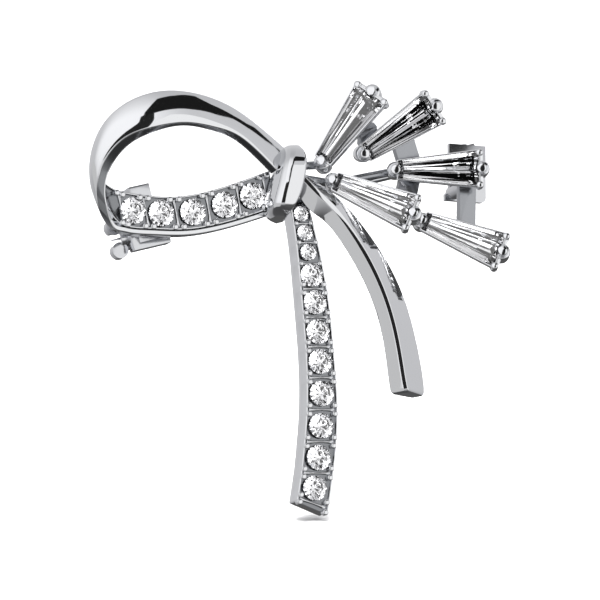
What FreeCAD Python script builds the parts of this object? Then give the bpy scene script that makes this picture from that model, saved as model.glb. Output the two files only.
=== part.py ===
# Ribbon-bow brooch: a rhodium-plated silver bow with a pave loop, a pave tail, a plain tail and a spray
# of five tapered baguettes, worn on a hinged pin that closes in a turning safety catch.
# Millimetres. +Z is up as worn, -Y is the front, and the cloth lies in the XZ plane.
# The origin is on the pin stem's axis, midway along the back. The bow is drawn STEM_LEVEL higher, about
# the knot, and everything comes down by that much when it is written out.
import FreeCAD, Part
import math
import os
from FreeCAD import Vector

# ---- driving dimensions -------------------------------------------------------------------------------

STEM_SLOPE = math.radians(16.45)     # the pin rises to the wearer's left
STEM_LEVEL = 1.50                    # height of the stem over the level that the bow is drawn from
STEM_R = 0.38                        # pin wire radius
STEM_TAPER_START = -11.0             # along the stem: where the wire starts to narrow
STEM_TIP = -16.9                     # along the stem: the point
STEM_NECK = 15.6                     # along the stem: where the round wire is flattened towards the eye
HINGE_AT = 16.9                      # along the stem: the hinge rivet
EYE_R = 0.80                         # flattened eye at the wire's end
EYE_THICK = 0.90
RIVET_R = 0.35
RIVET_HEAD_R = 0.55
RIVET_HEAD_TALL = 0.22
RIVET_CLEAR = 0.03                   # running clearance of the eye on its rivet
EAR_GAP = 1.00
EAR_THICK = 0.45
HINGE_PLATE_WIDE = (14.20, 17.65)    # across the brooch, from the origin
HINGE_PLATE_TALL = (2.05, 7.15)      # height, as the bow is drawn
HINGE_LIP = (0.42, 0.58)             # small lip at the plate's lower inner corner: width, height
HINGE_POST_Z = 2.75
HINGE_PLATE_BACK = -1.00
HINGE_PLATE_THICK = 0.45
EAR_ROUND = 0.85
HINGE_POST_R = 0.62

CATCH_R = 1.15                       # outside of the catch's ears and of the rotor's flange
CATCH_BORE_R = 0.84
ROTOR_R = 0.80
ROTOR_BORE_R = 0.55
CATCH_SLOT = 0.98                    # width of the way in for the wire
EAR_NEAR = (-12.9, -12.3)            # along the stem: the two ears that carry the rotor
EAR_FAR = (-15.7, -15.0)
ROTOR_END = -16.2                    # along the stem
LOBE_AT = -16.44                     # along the stem: the rotor's two round thumb lobes
LOBE_OUT = 1.02                      # lobe centre from the stem's axis
LOBE_R = 0.70
LOBE_HALF_THICK = 0.45

BAND_THICK = 0.72                    # polished ribbon of the loop
PAVE_THICK = 1.25                    # the loop's ribbon where it carries stones
TAIL_THICK = 2.00                    # pave tail, front to back

CROWN = 0.16                         # round brilliant, as shares of its diameter
GIRDLE = 0.04
PAVILION = 0.42
TABLE = 0.56
LOOP_STONE_D = 2.30
BEAD_R = 0.23                        # pave beads that hold the round stones

BAGUETTE_LONG = 6.90                 # tapered baguette: length, narrow end, wide end
BAGUETTE_NARROW = 1.45
BAGUETTE_WIDE = 3.00
BAGUETTE_CROWN = 0.38
BAGUETTE_GIRDLE = 0.10
BAGUETTE_PAVILION = 1.05
TABLE_INSET = 0.42
SETTING_WALL = 0.16
SETTING_DEPTH = 1.75                 # from the girdle down to the open back
SETTING_TAPER = 0.42                 # how much the basket narrows, each side, to its back
PRONG_R = 0.42
COLLAR_R = 0.74
PRONG_OUT = 0.26                     # prong centre beyond the stone's end
PRONG_RISE = 0.62                    # prong tip above the girdle
CLAW_R = 0.34                        # round corner claws at the wide end
CLAW_OUT = 0.10                      # claw centre beyond the stone's corner, along the stone
CLAW_RISE = 0.22
END_WALL = 0.40                      # thicker wall between the claws

FRONT = Vector(0, -1, 0)
ALONG = Vector(math.cos(STEM_SLOPE), 0, math.sin(STEM_SLOPE))
ACROSS = Vector(-math.sin(STEM_SLOPE), 0, math.cos(STEM_SLOPE))
BACK = Vector(0, 1, 0)

parts = {}


# ---- helpers ------------------------------------------------------------------------------------------


def unit(v):
    return Vector(v) * (1.0 / v.Length)


def stem_point(along, back=0.0, across=0.0):
    return Vector(0, 0, STEM_LEVEL) + ALONG * along + BACK * back + ACROSS * across


def curve(points):
    """A smooth edge through the points, with the same parameters for every rail of one skin."""
    last = len(points) - 1
    spline = Part.BSplineCurve()
    spline.interpolate(Points=points, Parameters=[i / last for i in range(len(points))])
    return spline.toShape()


def closed_solid(faces):
    shell = Part.Shell(faces)
    solid = Part.Solid(shell)
    if solid.Volume < 0:
        solid.reverse()
    return solid


def skin(sections):
    """A solid whose corners follow smooth rails through flat sections with the same corner count."""
    rails = [curve(list(rail)) for rail in zip(*sections)]
    count = len(rails)
    faces = [Part.makeRuledSurface(rails[i], rails[(i + 1) % count], 1) for i in range(count)]
    for end in (sections[0], sections[-1]):
        faces.append(Part.Face(Part.makePolygon(list(end) + [end[0]])))
    return closed_solid(faces)


def hull_of_rings(rings):
    """A flat-faced solid through rings of four corners, capped at both ends."""
    faces = []
    for lower, upper in zip(rings, rings[1:]):
        for i in range(4):
            j = (i + 1) % 4
            quad = [lower[i], lower[j], upper[j], upper[i], lower[i]]
            faces.append(Part.Face(Part.makePolygon(quad)))
    for end in (rings[0], rings[-1]):
        faces.append(Part.Face(Part.makePolygon(list(end) + [end[0]])))
    return closed_solid(faces)


def cylinder(start, end, radius):
    axis = end - start
    return Part.makeCylinder(radius, axis.Length, start, axis)


def bar(start, end, wide, thick, flat_normal):
    """A flat bar from start to end; thick is measured along flat_normal."""
    along = unit(end - start)
    side = unit(flat_normal.cross(along))
    normal = along.cross(side)
    ring = []
    for s, t in ((-1, -1), (1, -1), (1, 1), (-1, 1)):
        ring.append(start + side * (s * wide / 2) + normal * (t * thick / 2))
    face = Part.Face(Part.makePolygon(ring + [ring[0]]))
    return face.extrude(end - start)


def stem_block(along, back, across):
    """A block square to the pin stem, given as (low, high) along, back and across."""
    corner = stem_point(along[0], back[0], across[0])
    ring = [
        corner,
        corner + ALONG * (along[1] - along[0]),
        corner + ALONG * (along[1] - along[0]) + ACROSS * (across[1] - across[0]),
        corner + ACROSS * (across[1] - across[0]),
    ]
    face = Part.Face(Part.makePolygon(ring + [ring[0]]))
    return face.extrude(BACK * (back[1] - back[0]))


def revolve(profile, at, axis):
    """Turn a profile of (radius, height) points, closed on the axis, about the axis through at."""
    points = [Vector(r, 0, h) for r, h in profile]
    face = Part.Face(Part.makePolygon(points + [points[0]]))
    solid = face.revolve(Vector(0, 0, 0), Vector(0, 0, 1), 360)
    solid.Placement = FreeCAD.Placement(at, FreeCAD.Rotation(Vector(0, 0, 1), axis))
    return solid


def largest(shape):
    return max(shape.Solids, key=lambda s: s.Volume)


# ---- round stones -------------------------------------------------------------------------------------


def brilliant(at, axis, diameter):
    """A round brilliant whose girdle's top edge is level with the metal at the point at."""
    r = diameter / 2
    girdle = GIRDLE * diameter
    profile = [
        (0, CROWN * diameter),
        (TABLE * r, CROWN * diameter),
        (r, 0),
        (r, -girdle),
        (0.02, -girdle - PAVILION * diameter),
        (0, -girdle - PAVILION * diameter),
    ]
    return revolve(profile, at, axis)


def drill(at, axis, diameter, depth):
    """The light hole behind a round stone, out through the metal's back."""
    return cylinder(at - axis * (0.2 * diameter), at - axis * depth, 0.26 * diameter)


def bead(at, axis):
    """A pave bead: a short peg that narrows to its flat top, rooted in the metal."""
    return Part.makeCone(BEAD_R, 0.6 * BEAD_R, 0.45, at - axis * 0.20, axis)


def set_stones(metal, stones, beads):
    """Cut every seat to its stone, drill the light holes, and raise the beads between the stones."""
    for at, axis, diameter, depth in stones:
        metal = metal.cut(drill(at, axis, diameter, depth))
        metal = metal.cut(brilliant(at, axis, diameter))
    for at, axis in beads:
        peg = bead(at, axis)
        for stone_at, stone_axis, diameter, depth in stones:
            if (stone_at - at).Length < diameter:
                peg = peg.cut(brilliant(stone_at, stone_axis, diameter))
        metal = metal.fuse(peg)
    return largest(metal)


# ---- ribbon loop --------------------------------------------------------------------------------------

# The ribbon leaves the knot in front, arches up and over to the left, bends back round the end, and
# returns behind, lower down, with its inner face turned to the front. Each station is the ribbon's upper
# edge and its lower edge, on the outer face.
LOOP_STATIONS = [
    ((-2.55, -5.30, 4.75), (-3.70, -6.70, 2.40)),
    ((-5.90, -6.10, 6.80), (-6.80, -7.10, 4.75)),
    ((-8.80, -6.70, 8.00), (-9.25, -7.30, 5.50)),
    ((-12.00, -7.00, 8.50), (-12.00, -7.35, 5.70)),
    ((-15.00, -6.80, 8.15), (-14.80, -7.10, 5.15)),
    ((-17.55, -6.10, 6.80), (-17.10, -6.40, 4.15)),
    ((-19.10, -5.20, 4.65), (-18.60, -5.40, 2.15)),
    ((-19.45, -4.20, 2.35), (-18.85, -4.30, 0.05)),
    ((-18.80, -3.15, 1.15), (-18.05, -3.15, -1.40)),
    ((-17.10, -2.55, 0.40), (-16.45, -2.45, -2.60)),
    ((-14.45, -2.40, 0.15), (-13.75, -2.25, -2.70)),
    ((-10.95, -2.40, 0.35), (-10.30, -2.20, -2.45)),
    ((-7.00, -2.60, 1.50), (-6.40, -2.40, -1.45)),
    ((-3.30, -3.00, 3.00), (-2.70, -2.80, -0.10)),
]
LOOP_RETURN = 8                      # the station where the ribbon has bent back
LOOP_STONES_AT = (9.55, 10.38, 11.15, 11.87, 12.52)   # stations of the stones, counted along the ribbon


def loop_frame(station):
    """Upper edge, lower edge, unit direction down the width, and the outer face's normal at a station."""
    tops = [Vector(*top) for top, low in LOOP_STATIONS]
    lows = [Vector(*low) for top, low in LOOP_STATIONS]
    last = len(tops) - 1
    base = min(int(station), last - 1)
    share = station - base
    top_rail = curve(tops).Curve
    low_rail = curve(lows).Curve
    t = (base + share) / last
    top = top_rail.value(t)
    low = low_rail.value(t)
    step = 0.002
    before = max(t - step, 0.0)
    after = min(t + step, 1.0)
    tangent = top_rail.value(after) - top_rail.value(before)
    tangent += low_rail.value(after) - low_rail.value(before)
    down = unit(low - top)
    return top, low, down, unit(tangent.cross(down))


def ramp(station, start, end):
    return min(max((station - start) / (end - start), 0.0), 1.0)


def loop_thickness(station):
    return BAND_THICK + (PAVE_THICK - BAND_THICK) * ramp(station, LOOP_RETURN, LOOP_RETURN + 1.5)


def loop_section(station):
    """Six corners: domed outer face, square inner face, and the lip that grows along the bottom."""
    top, low, down, out = loop_frame(station)
    width = (low - top).Length
    thick = loop_thickness(station)
    lip = ramp(station, LOOP_RETURN - 2, LOOP_RETURN + 1)
    lip_down = 0.85 * width + (0.15 * width + 0.42) * lip
    lip_out = 0.14 + 0.20 * lip
    corners = [
        (0, 0),
        (0.42 * width, 0.24),
        (lip_down, lip_out),
        (width, 0),
        (width, -thick),
        (0, -thick),
    ]
    return [top + down * a + out * b for a, b in corners]


def loop_stone_places():
    places = []
    for station in LOOP_STONES_AT:
        top, low, down, out = loop_frame(station)
        centre = (top + low) * 0.5 - out * loop_thickness(station)
        places.append((centre, out * -1, LOOP_STONE_D, 2.0))
    return places


def loop_beads():
    """Two beads on each edge of the ribbon between neighbouring stones."""
    beads = []
    for left, right in zip(LOOP_STONES_AT, LOOP_STONES_AT[1:]):
        for share in (0.36, 0.64):
            top, low, down, out = loop_frame(left + (right - left) * share)
            inner = out * -loop_thickness(left)
            beads.append((top + inner + down * 0.32, out * -1))
            beads.append((low + inner - down * 0.32, out * -1))
    return beads


loop_metal = skin([loop_section(i) for i in range(len(LOOP_STATIONS))])
parts["ribbon_loop"] = set_stones(loop_metal, loop_stone_places(), loop_beads())
for number, (at, axis, diameter, depth) in enumerate(loop_stone_places(), 1):
    parts[f"loop_stone_{number}"] = brilliant(at, axis, diameter)


# ---- pave tail ----------------------------------------------------------------------------------------

# Left and right edges of the tail's face, from inside the knot down to the slanted end; the face lies at
# the depth given third.
TAIL_EDGES = [
    ((-2.00, 0.40), (-0.40, 0.55), -5.00),
    ((-1.35, -3.60), (0.70, -3.45), -5.00),
    ((-0.85, -8.25), (1.65, -8.10), -4.90),
    ((-0.45, -12.50), (2.15, -12.35), -4.80),
    ((-0.30, -16.75), (2.50, -16.60), -4.70),
    ((-0.50, -20.15), (2.45, -20.00), -4.65),
    ((-0.75, -22.70), (2.20, -22.55), -4.60),
    ((-1.15, -25.30), (1.65, -26.30), -4.60),
]
TAIL_STONES = [                      # height and diameter, three small ones at the root
    (-0.85, 1.35),
    (-2.45, 1.40),
    (-4.10, 1.45),
    (-6.05, 2.05),
    (-8.35, 2.10),
    (-10.85, 2.15),
    (-13.40, 2.15),
    (-16.10, 2.20),
    (-18.85, 2.20),
    (-21.55, 2.20),
    (-24.15, 2.15),
]


def tail_section(edges):
    (left_x, left_z), (right_x, right_z), face_y = edges
    front_left = Vector(left_x, face_y, left_z)
    front_right = Vector(right_x, face_y, right_z)
    return [front_left, front_right, front_right + BACK * TAIL_THICK, front_left + BACK * TAIL_THICK]


def tail_at(height):
    """Left edge and right edge of the face at a height."""
    sections = [tail_section(edges) for edges in TAIL_EDGES]
    left = curve([s[0] for s in sections]).Curve
    right = curve([s[1] for s in sections]).Curve
    low, high = 0.0, 1.0
    for _ in range(40):
        middle = (low + high) / 2
        if (left.value(middle).z + right.value(middle).z) / 2 > height:
            low = middle
        else:
            high = middle
    return left.value(low), right.value(low)


def tail_stone_places():
    places = []
    for height, diameter in TAIL_STONES:
        left, right = tail_at(height)
        places.append(((left + right) * 0.5, FRONT, diameter, TAIL_THICK + 1))
    return places


def tail_beads():
    """A bead at each edge beside every gap between two stones, and at the free end."""
    heights = [h for h, d in TAIL_STONES]
    gaps = [(a + b) / 2 for a, b in zip(heights, heights[1:])]
    beads = []
    for height in gaps[2:]:
        for step in (-0.38, 0.38):
            left, right = tail_at(height + step)
            beads.append((left + Vector(0.27, 0, 0), FRONT))
            beads.append((right - Vector(0.27, 0, 0), FRONT))
    return beads


tail_metal = skin([tail_section(edges) for edges in TAIL_EDGES])
parts["pave_tail"] = set_stones(tail_metal, tail_stone_places(), tail_beads())
for number, (at, axis, diameter, depth) in enumerate(tail_stone_places(), 1):
    parts[f"tail_stone_{number}"] = brilliant(at, axis, diameter)


# ---- plain tail ---------------------------------------------------------------------------------------

# The plain tail is turned on its length: the front ridge, the outer edge of the polished face, and the
# back of the left side wall.
PLAIN_STATIONS = [
    ((-1.95, -6.80, 1.95), (-1.30, -5.20, 2.95), (-2.20, -6.05, 1.25)),
    ((0.10, -6.90, 0.05), (1.35, -5.20, 1.40), (-0.40, -6.10, -0.85)),
    ((1.95, -6.80, -1.70), (3.55, -5.00, -0.25), (1.35, -6.00, -2.10)),
    ((4.75, -6.50, -5.70), (6.80, -4.60, -4.00), (4.20, -5.60, -5.90)),
    ((6.70, -6.10, -10.25), (9.20, -4.20, -8.60), (6.15, -5.20, -10.30)),
    ((7.60, -5.80, -14.20), (10.55, -3.80, -13.60), (6.95, -4.90, -14.30)),
    ((7.95, -5.75, -15.85), (10.75, -3.75, -15.75), (7.25, -4.85, -15.95)),
]


def plain_section(station):
    ridge, outer, wall = [Vector(*p) for p in station]
    return [ridge, outer, outer + wall - ridge, wall]


parts["plain_tail"] = skin([plain_section(station) for station in PLAIN_STATIONS])


# ---- knot ---------------------------------------------------------------------------------------------

# Domed band wrapped round the ribbons: level ovals as (centre x, centre y, height, half width, half depth)
KNOT_OVALS = [
    (-1.95, -5.55, 4.95, 0.75, 1.20),
    (-1.85, -5.65, 4.30, 1.20, 1.80),
    (-2.05, -5.60, 2.75, 1.60, 2.40),
    (-2.50, -5.55, 1.00, 1.60, 2.55),
    (-2.95, -5.45, -0.40, 1.22, 2.30),
    (-2.95, -5.30, -1.40, 0.65, 1.55),
]


def knot_blank():
    wires = []
    for x, y, z, half_width, half_depth in KNOT_OVALS:
        oval = Part.Ellipse(Vector(0, 0, 0), half_depth, half_width).toShape()
        wire = Part.Wire([oval])
        wire.Placement = FreeCAD.Placement(Vector(x, y, z), FreeCAD.Rotation(Vector(0, 0, 1), 90))
        wires.append(wire)
    return Part.makeLoft(wires, True, False)


knot = knot_blank()
for ribbon in (loop_metal, tail_metal, parts["plain_tail"], parts["loop_stone_5"]):
    knot = knot.cut(ribbon)
parts["knot_band"] = largest(knot)


# ---- tapered baguettes and their settings -------------------------------------------------------------

# Inner prong tip, outer prong tip, and the way the stone faces
BAGUETTES = [
    ((0.90, -4.60, 3.85), (5.00, -6.60, 10.20), (-0.40, -0.90, 0.10)),
    ((4.95, -4.90, 4.80), (10.80, -7.00, 9.00), (-0.25, -0.95, -0.25)),
    ((7.75, -5.00, 3.65), (14.75, -7.40, 3.80), (-0.20, -0.97, -0.10)),
    ((2.00, -4.80, 2.45), (8.55, -7.20, -0.45), (-0.15, -0.97, -0.05)),
    ((9.95, -5.00, -0.45), (16.85, -7.40, -3.35), (-0.15, -0.97, -0.05)),
]


def baguette_frame(number):
    """Centre of the girdle, unit length direction towards the wide end, normal and side."""
    inner, outer, facing = [Vector(*v) for v in BAGUETTES[number]]
    along = unit(outer - inner)
    normal = unit(facing - along * facing.dot(along))
    centre = (inner + outer) * 0.5 - normal * PRONG_RISE
    return centre, along, normal, normal.cross(along)


def tapered_ring(frame, height, inset):
    """Four corners of the tapered outline at a height over the girdle, moved in by inset."""
    centre, along, normal, side = frame
    slope = (BAGUETTE_WIDE - BAGUETTE_NARROW) / (2 * BAGUETTE_LONG)
    side_inset = inset * math.sqrt(1 + slope * slope)
    half = BAGUETTE_LONG / 2 - inset
    narrow = BAGUETTE_NARROW / 2 + slope * inset - side_inset
    wide = BAGUETTE_WIDE / 2 - slope * inset - side_inset
    corners = ((-half, -narrow), (half, -wide), (half, wide), (-half, narrow))
    return [centre + along * a + side * s + normal * height for a, s in corners]


def baguette_stone(frame):
    keel_inset = BAGUETTE_NARROW / 2 - 0.06
    return hull_of_rings([
        tapered_ring(frame, -BAGUETTE_GIRDLE - BAGUETTE_PAVILION, keel_inset),
        tapered_ring(frame, -BAGUETTE_GIRDLE, 0),
        tapered_ring(frame, 0, 0),
        tapered_ring(frame, BAGUETTE_CROWN, TABLE_INSET),
    ])


def prong(frame, along_at):
    """Thick post up to the girdle, and the slimmer domed tip that laps over the stone's end."""
    centre, along, normal, side = frame
    foot = centre + along * along_at - normal * SETTING_DEPTH
    post = cylinder(foot, foot + normal * (SETTING_DEPTH - 0.10), COLLAR_R)
    neck = foot + normal * (SETTING_DEPTH - 0.12)
    tip_length = PRONG_RISE + 0.12 - PRONG_R
    tip = cylinder(neck, neck + normal * tip_length, PRONG_R)
    dome = Part.makeSphere(PRONG_R, neck + normal * tip_length)
    return post.fuse(tip).fuse(dome)


def baguette_setting(frame, stone):
    basket = hull_of_rings([
        tapered_ring(frame, -SETTING_DEPTH, SETTING_TAPER - SETTING_WALL),
        tapered_ring(frame, -0.55, -SETTING_WALL),
        tapered_ring(frame, 0.06, -SETTING_WALL),
    ])
    well = hull_of_rings([
        tapered_ring(frame, -SETTING_DEPTH - 0.1, SETTING_TAPER + 0.16),
        tapered_ring(frame, -BAGUETTE_GIRDLE, 0.22),
    ])
    reach = BAGUETTE_LONG / 2 + PRONG_OUT
    metal = basket.cut(well)
    for at in (-reach, reach):
        metal = metal.fuse(prong(frame, at))
    for piece in wide_end(frame):
        metal = metal.fuse(piece)
    return largest(metal.cut(stone))


def wide_end(frame):
    """The thicker wall behind the wide end and the two round claws at its corners."""
    centre, along, normal, side = frame
    end = centre + along * (BAGUETTE_LONG / 2)
    half = BAGUETTE_WIDE / 2 - CLAW_OUT
    wall_start = end - normal * 0.55
    pieces = [bar(wall_start, wall_start + along * END_WALL, 2 * half, 1.0, normal)]
    for s in (-1, 1):
        foot = end + along * CLAW_OUT + side * (s * half) - normal * 1.10
        pieces.append(cylinder(foot, foot + normal * (1.10 + CLAW_RISE), CLAW_R))
    return pieces


for i in range(len(BAGUETTES)):
    frame = baguette_frame(i)
    stone = baguette_stone(frame)
    parts[f"baguette_stone_{i + 1}"] = stone
    parts[f"baguette_setting_{i + 1}"] = baguette_setting(frame, stone)


def setting_point(number, along_share, side_share, height):
    """A point on setting number: shares of the half length and half mean width, height over girdle."""
    centre, along, normal, side = baguette_frame(number - 1)
    a = along_share * BAGUETTE_LONG / 2
    half_width = (BAGUETTE_NARROW + (BAGUETTE_WIDE - BAGUETTE_NARROW) * (along_share + 1) / 2) / 2
    return centre + along * a + side * (side_share * half_width) + normal * height


# ---- links between the settings -----------------------------------------------------------------------

LINK_R = 0.36
LINK_LEVEL = -1.15                   # below the girdle


def prong_foot(number, end):
    """Middle of a setting's post, end -1 for the narrow end and 1 for the wide end."""
    centre, along, normal, side = baguette_frame(number - 1)
    return centre + along * (end * (BAGUETTE_LONG / 2 + PRONG_OUT)) + normal * LINK_LEVEL


def trimmed(blank, *touching):
    for name in touching:
        blank = blank.cut(parts[name])
    return largest(blank)


KNOT_ROOT = Vector(-1.30, -4.20, 3.40)     # inside the knot, where the spray's wires start

WEB_THICK = 0.70                     # flat webs between neighbouring settings

parts["link_knot_1"] = trimmed(
    cylinder(KNOT_ROOT, prong_foot(1, -1), LINK_R), "knot_band", "plain_tail", "baguette_setting_1")
parts["link_knot_4"] = trimmed(
    cylinder(KNOT_ROOT - Vector(0, 0, 0.95), prong_foot(4, -1), LINK_R),
    "knot_band", "plain_tail", "baguette_setting_4")
parts["link_4_3"] = trimmed(
    cylinder(prong_foot(4, -1), prong_foot(3, -1), LINK_R), "baguette_setting_4", "baguette_setting_3")


def web(first, second, wide, start, end):
    """A flat web between two settings; start and end are (share along, share across) on each."""
    low = setting_point(first, start[0], start[1], LINK_LEVEL)
    high = setting_point(second, end[0], end[1], LINK_LEVEL)
    return trimmed(bar(low, high, wide, WEB_THICK, FRONT), f"baguette_setting_{first}",
                   f"baguette_setting_{second}")


parts["link_1_2"] = web(1, 2, 1.50, (0.35, -0.95), (-0.85, 0.60))
parts["link_2_3"] = web(2, 3, 2.00, (-0.05, -0.95), (-0.72, 0.90))
parts["link_3_4"] = web(3, 4, 1.80, (-0.72, -0.90), (0.72, 0.95))
parts["link_4_5"] = trimmed(
    cylinder(prong_foot(4, 1), prong_foot(5, -1), LINK_R), "baguette_setting_4", "baguette_setting_5")

# The flat strut between settings 3 and 5 carries the hinge on a short post.
STRUT_WIDE = 1.50
STRUT_THICK = 0.75
STRUT_TOP = Vector(14.55, -4.45, 3.60)
STRUT_FOOT = Vector(14.55, -4.20, -1.30)
parts["strut_3_5"] = trimmed(
    bar(STRUT_TOP, STRUT_FOOT, STRUT_WIDE, STRUT_THICK, FRONT), "baguette_setting_3", "baguette_setting_5")


# ---- pin stem, its hinge and the catch ----------------------------------------------------------------

EAR_HALF = EAR_GAP / 2 + EAR_THICK


def hinge_ear(low, high):
    """One ear of the hinge: a round boss about the rivet on a block down to the plate."""
    boss = cylinder(stem_point(HINGE_AT, 0, low), stem_point(HINGE_AT, 0, high), EAR_ROUND)
    foot = stem_block((HINGE_AT - EAR_ROUND, HINGE_AT + EAR_ROUND), (HINGE_PLATE_BACK, 0), (low, high))
    return boss.fuse(foot)


def hinge_plate_blank():
    """An upright plate with rounded lower corners; the ears stand on its upper half."""
    (left, right), (low, high) = HINGE_PLATE_WIDE, HINGE_PLATE_TALL
    front = HINGE_PLATE_BACK - HINGE_PLATE_THICK
    plate = Part.makeBox(right - left, HINGE_PLATE_THICK, high - low, Vector(left, front, low))
    upright = [e for e in plate.Edges if abs(e.BoundBox.ZMax - low) < 0.001 and e.BoundBox.YLength > 0.1]
    lip_wide, lip_tall = HINGE_LIP
    lip = Part.makeBox(lip_wide + 0.6, HINGE_PLATE_THICK, lip_tall, Vector(left - lip_wide, front, low))
    return plate.makeFillet(0.5, upright).fuse(lip)


hinge_plate = hinge_plate_blank()
post_at = Vector(STRUT_TOP.x, -4.0, HINGE_POST_Z)
hinge_post = cylinder(post_at, Vector(post_at.x, HINGE_PLATE_BACK - 0.1, post_at.z), HINGE_POST_R)
rivet_shank = cylinder(stem_point(HINGE_AT, 0, -EAR_HALF), stem_point(HINGE_AT, 0, EAR_HALF), RIVET_R)
rivet_heads = []
for s in (-1, 1):
    head_foot = stem_point(HINGE_AT, 0, s * EAR_HALF)
    rivet_heads.append(cylinder(head_foot, head_foot + ACROSS * (s * RIVET_HEAD_TALL), RIVET_HEAD_R))
bracket = hinge_plate.multiFuse([
    hinge_ear(-EAR_HALF, -EAR_GAP / 2),
    hinge_ear(EAR_GAP / 2, EAR_HALF),
    hinge_post,
])
bracket = bracket.cut(parts["strut_3_5"]).cut(rivet_shank)
parts["hinge_bracket"] = largest(bracket)
parts["hinge_rivet"] = largest(rivet_shank.multiFuse(rivet_heads))


def pin_stem():
    """The pin: an eye on the rivet, the wire, and the long taper to the point."""
    half = EYE_THICK / 2
    eye = cylinder(stem_point(HINGE_AT, 0, -half), stem_point(HINGE_AT, 0, half), EYE_R)
    wire = cylinder(stem_point(STEM_TAPER_START), stem_point(STEM_NECK), STEM_R)
    neck = stem_block((STEM_NECK, HINGE_AT), (-0.9 * STEM_R, 0.9 * STEM_R), (-half, half))
    taper_length = STEM_TAPER_START - STEM_TIP
    taper = Part.makeCone(STEM_R, 0.05, taper_length, stem_point(STEM_TAPER_START), ALONG * -1)
    hole = cylinder(stem_point(HINGE_AT, 0, -1), stem_point(HINGE_AT, 0, 1), RIVET_R + RIVET_CLEAR)
    return largest(eye.multiFuse([neck, wire, taper]).cut(hole))


parts["pin_stem"] = pin_stem()

CATCH_WEB = (-1.75, -1.05)           # front wall of the catch, behind the loop
WEB_ALONG = (EAR_FAR[0], EAR_NEAR[1])
SILL = (-CATCH_R - 0.32, -CATCH_R)   # lower lip of the wall
CATCH_FOOT_ALONG = (-15.3, -13.4)
CATCH_FOOT_BACK = (-3.2, CATCH_WEB[0])
CATCH_FOOT_ACROSS = (0.1, 3.7)       # it stands behind the loop and shows just over its edge
HOLLOW_ALONG = (-15.0, -12.3)        # sloping hollow in the wall's front
HOLLOW_DEEP = 0.60


def catch_slot(along, reach):
    """The way in for the wire, open towards the back."""
    low, high = along
    return stem_block((low - 0.1, high + 0.1), (0, reach), (-CATCH_SLOT / 2, CATCH_SLOT / 2))


def catch_hollow():
    """A wedge that leans the wall's front back towards its foot."""
    low, high = HOLLOW_ALONG
    front = CATCH_WEB[0]
    ring = [
        stem_point(low, front - 0.1, -0.95),
        stem_point(low, front + HOLLOW_DEEP, -0.95),
        stem_point(low, front, 1.10),
        stem_point(low, front - 0.1, 1.10),
    ]
    return Part.Face(Part.makePolygon(ring + [ring[0]])).extrude(ALONG * (high - low + 0.1))


def catch_base():
    """Two C-shaped ears on a front wall, with a foot up against the back of the loop."""
    ears = []
    for low, high in (EAR_NEAR, EAR_FAR):
        ears.append(cylinder(stem_point(low), stem_point(high), CATCH_R))
        ears.append(stem_block((low, high), (CATCH_WEB[0], 0), (-CATCH_R, CATCH_R)))
    wall = stem_block(WEB_ALONG, CATCH_WEB, (-CATCH_R, CATCH_R))
    sill = stem_block(WEB_ALONG, (CATCH_WEB[0], -0.55), SILL)
    foot = stem_block(CATCH_FOOT_ALONG, CATCH_FOOT_BACK, CATCH_FOOT_ACROSS)
    body = wall.multiFuse(ears + [sill]).cut(catch_hollow()).fuse(foot)
    bore = cylinder(stem_point(EAR_FAR[0] - 0.1), stem_point(EAR_NEAR[1] + 0.1), CATCH_BORE_R)
    body = body.cut(bore).cut(catch_slot(WEB_ALONG, CATCH_R + 0.5))
    return largest(body.cut(loop_metal))


def catch_rotor():
    """A slotted tube that turns in the ears, with two round thumb lobes outside the far ear."""
    tube = cylinder(stem_point(ROTOR_END), stem_point(EAR_NEAR[1]), ROTOR_R)
    lobes = []
    for s in (-1, 1):
        front = stem_point(LOBE_AT, -LOBE_HALF_THICK, s * LOBE_OUT)
        lobes.append(cylinder(front, front + BACK * (2 * LOBE_HALF_THICK), LOBE_R))
    body = tube.multiFuse(lobes)
    bore_start = LOBE_AT - LOBE_R - 0.1
    bore = cylinder(stem_point(bore_start), stem_point(EAR_NEAR[1] + 0.1), ROTOR_BORE_R)
    return largest(body.cut(bore).cut(catch_slot((bore_start, EAR_NEAR[1]), CATCH_R + 0.5)))


parts["catch_base"] = catch_base()
parts["catch_rotor"] = catch_rotor()


# ---- output -------------------------------------------------------------------------------------------

os.makedirs("parts", exist_ok=True)
for name, shape in parts.items():
    shape.translate(Vector(0, 0, -STEM_LEVEL))
    print(f"{name:22s} valid {shape.isValid()} volume {shape.Volume:8.3f} solids {len(shape.Solids)}")
    shape.exportStep(f"parts/{name}.step")
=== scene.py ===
# %% [markdown]
# # A ribbon-bow brooch
# The real brooch is cast silver, polished by hand and plated with rhodium, a hard white metal that keeps
# silver from tarnishing. Its stones are cubic zirconia. The CAD model gives every piece's place and size.
# This script builds finer meshes over those pieces, so that light catches real facets and rounded edges.

# %% Start
import math

import bmesh
import bpy
import numpy as np
from mathutils import Matrix, Vector


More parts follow.
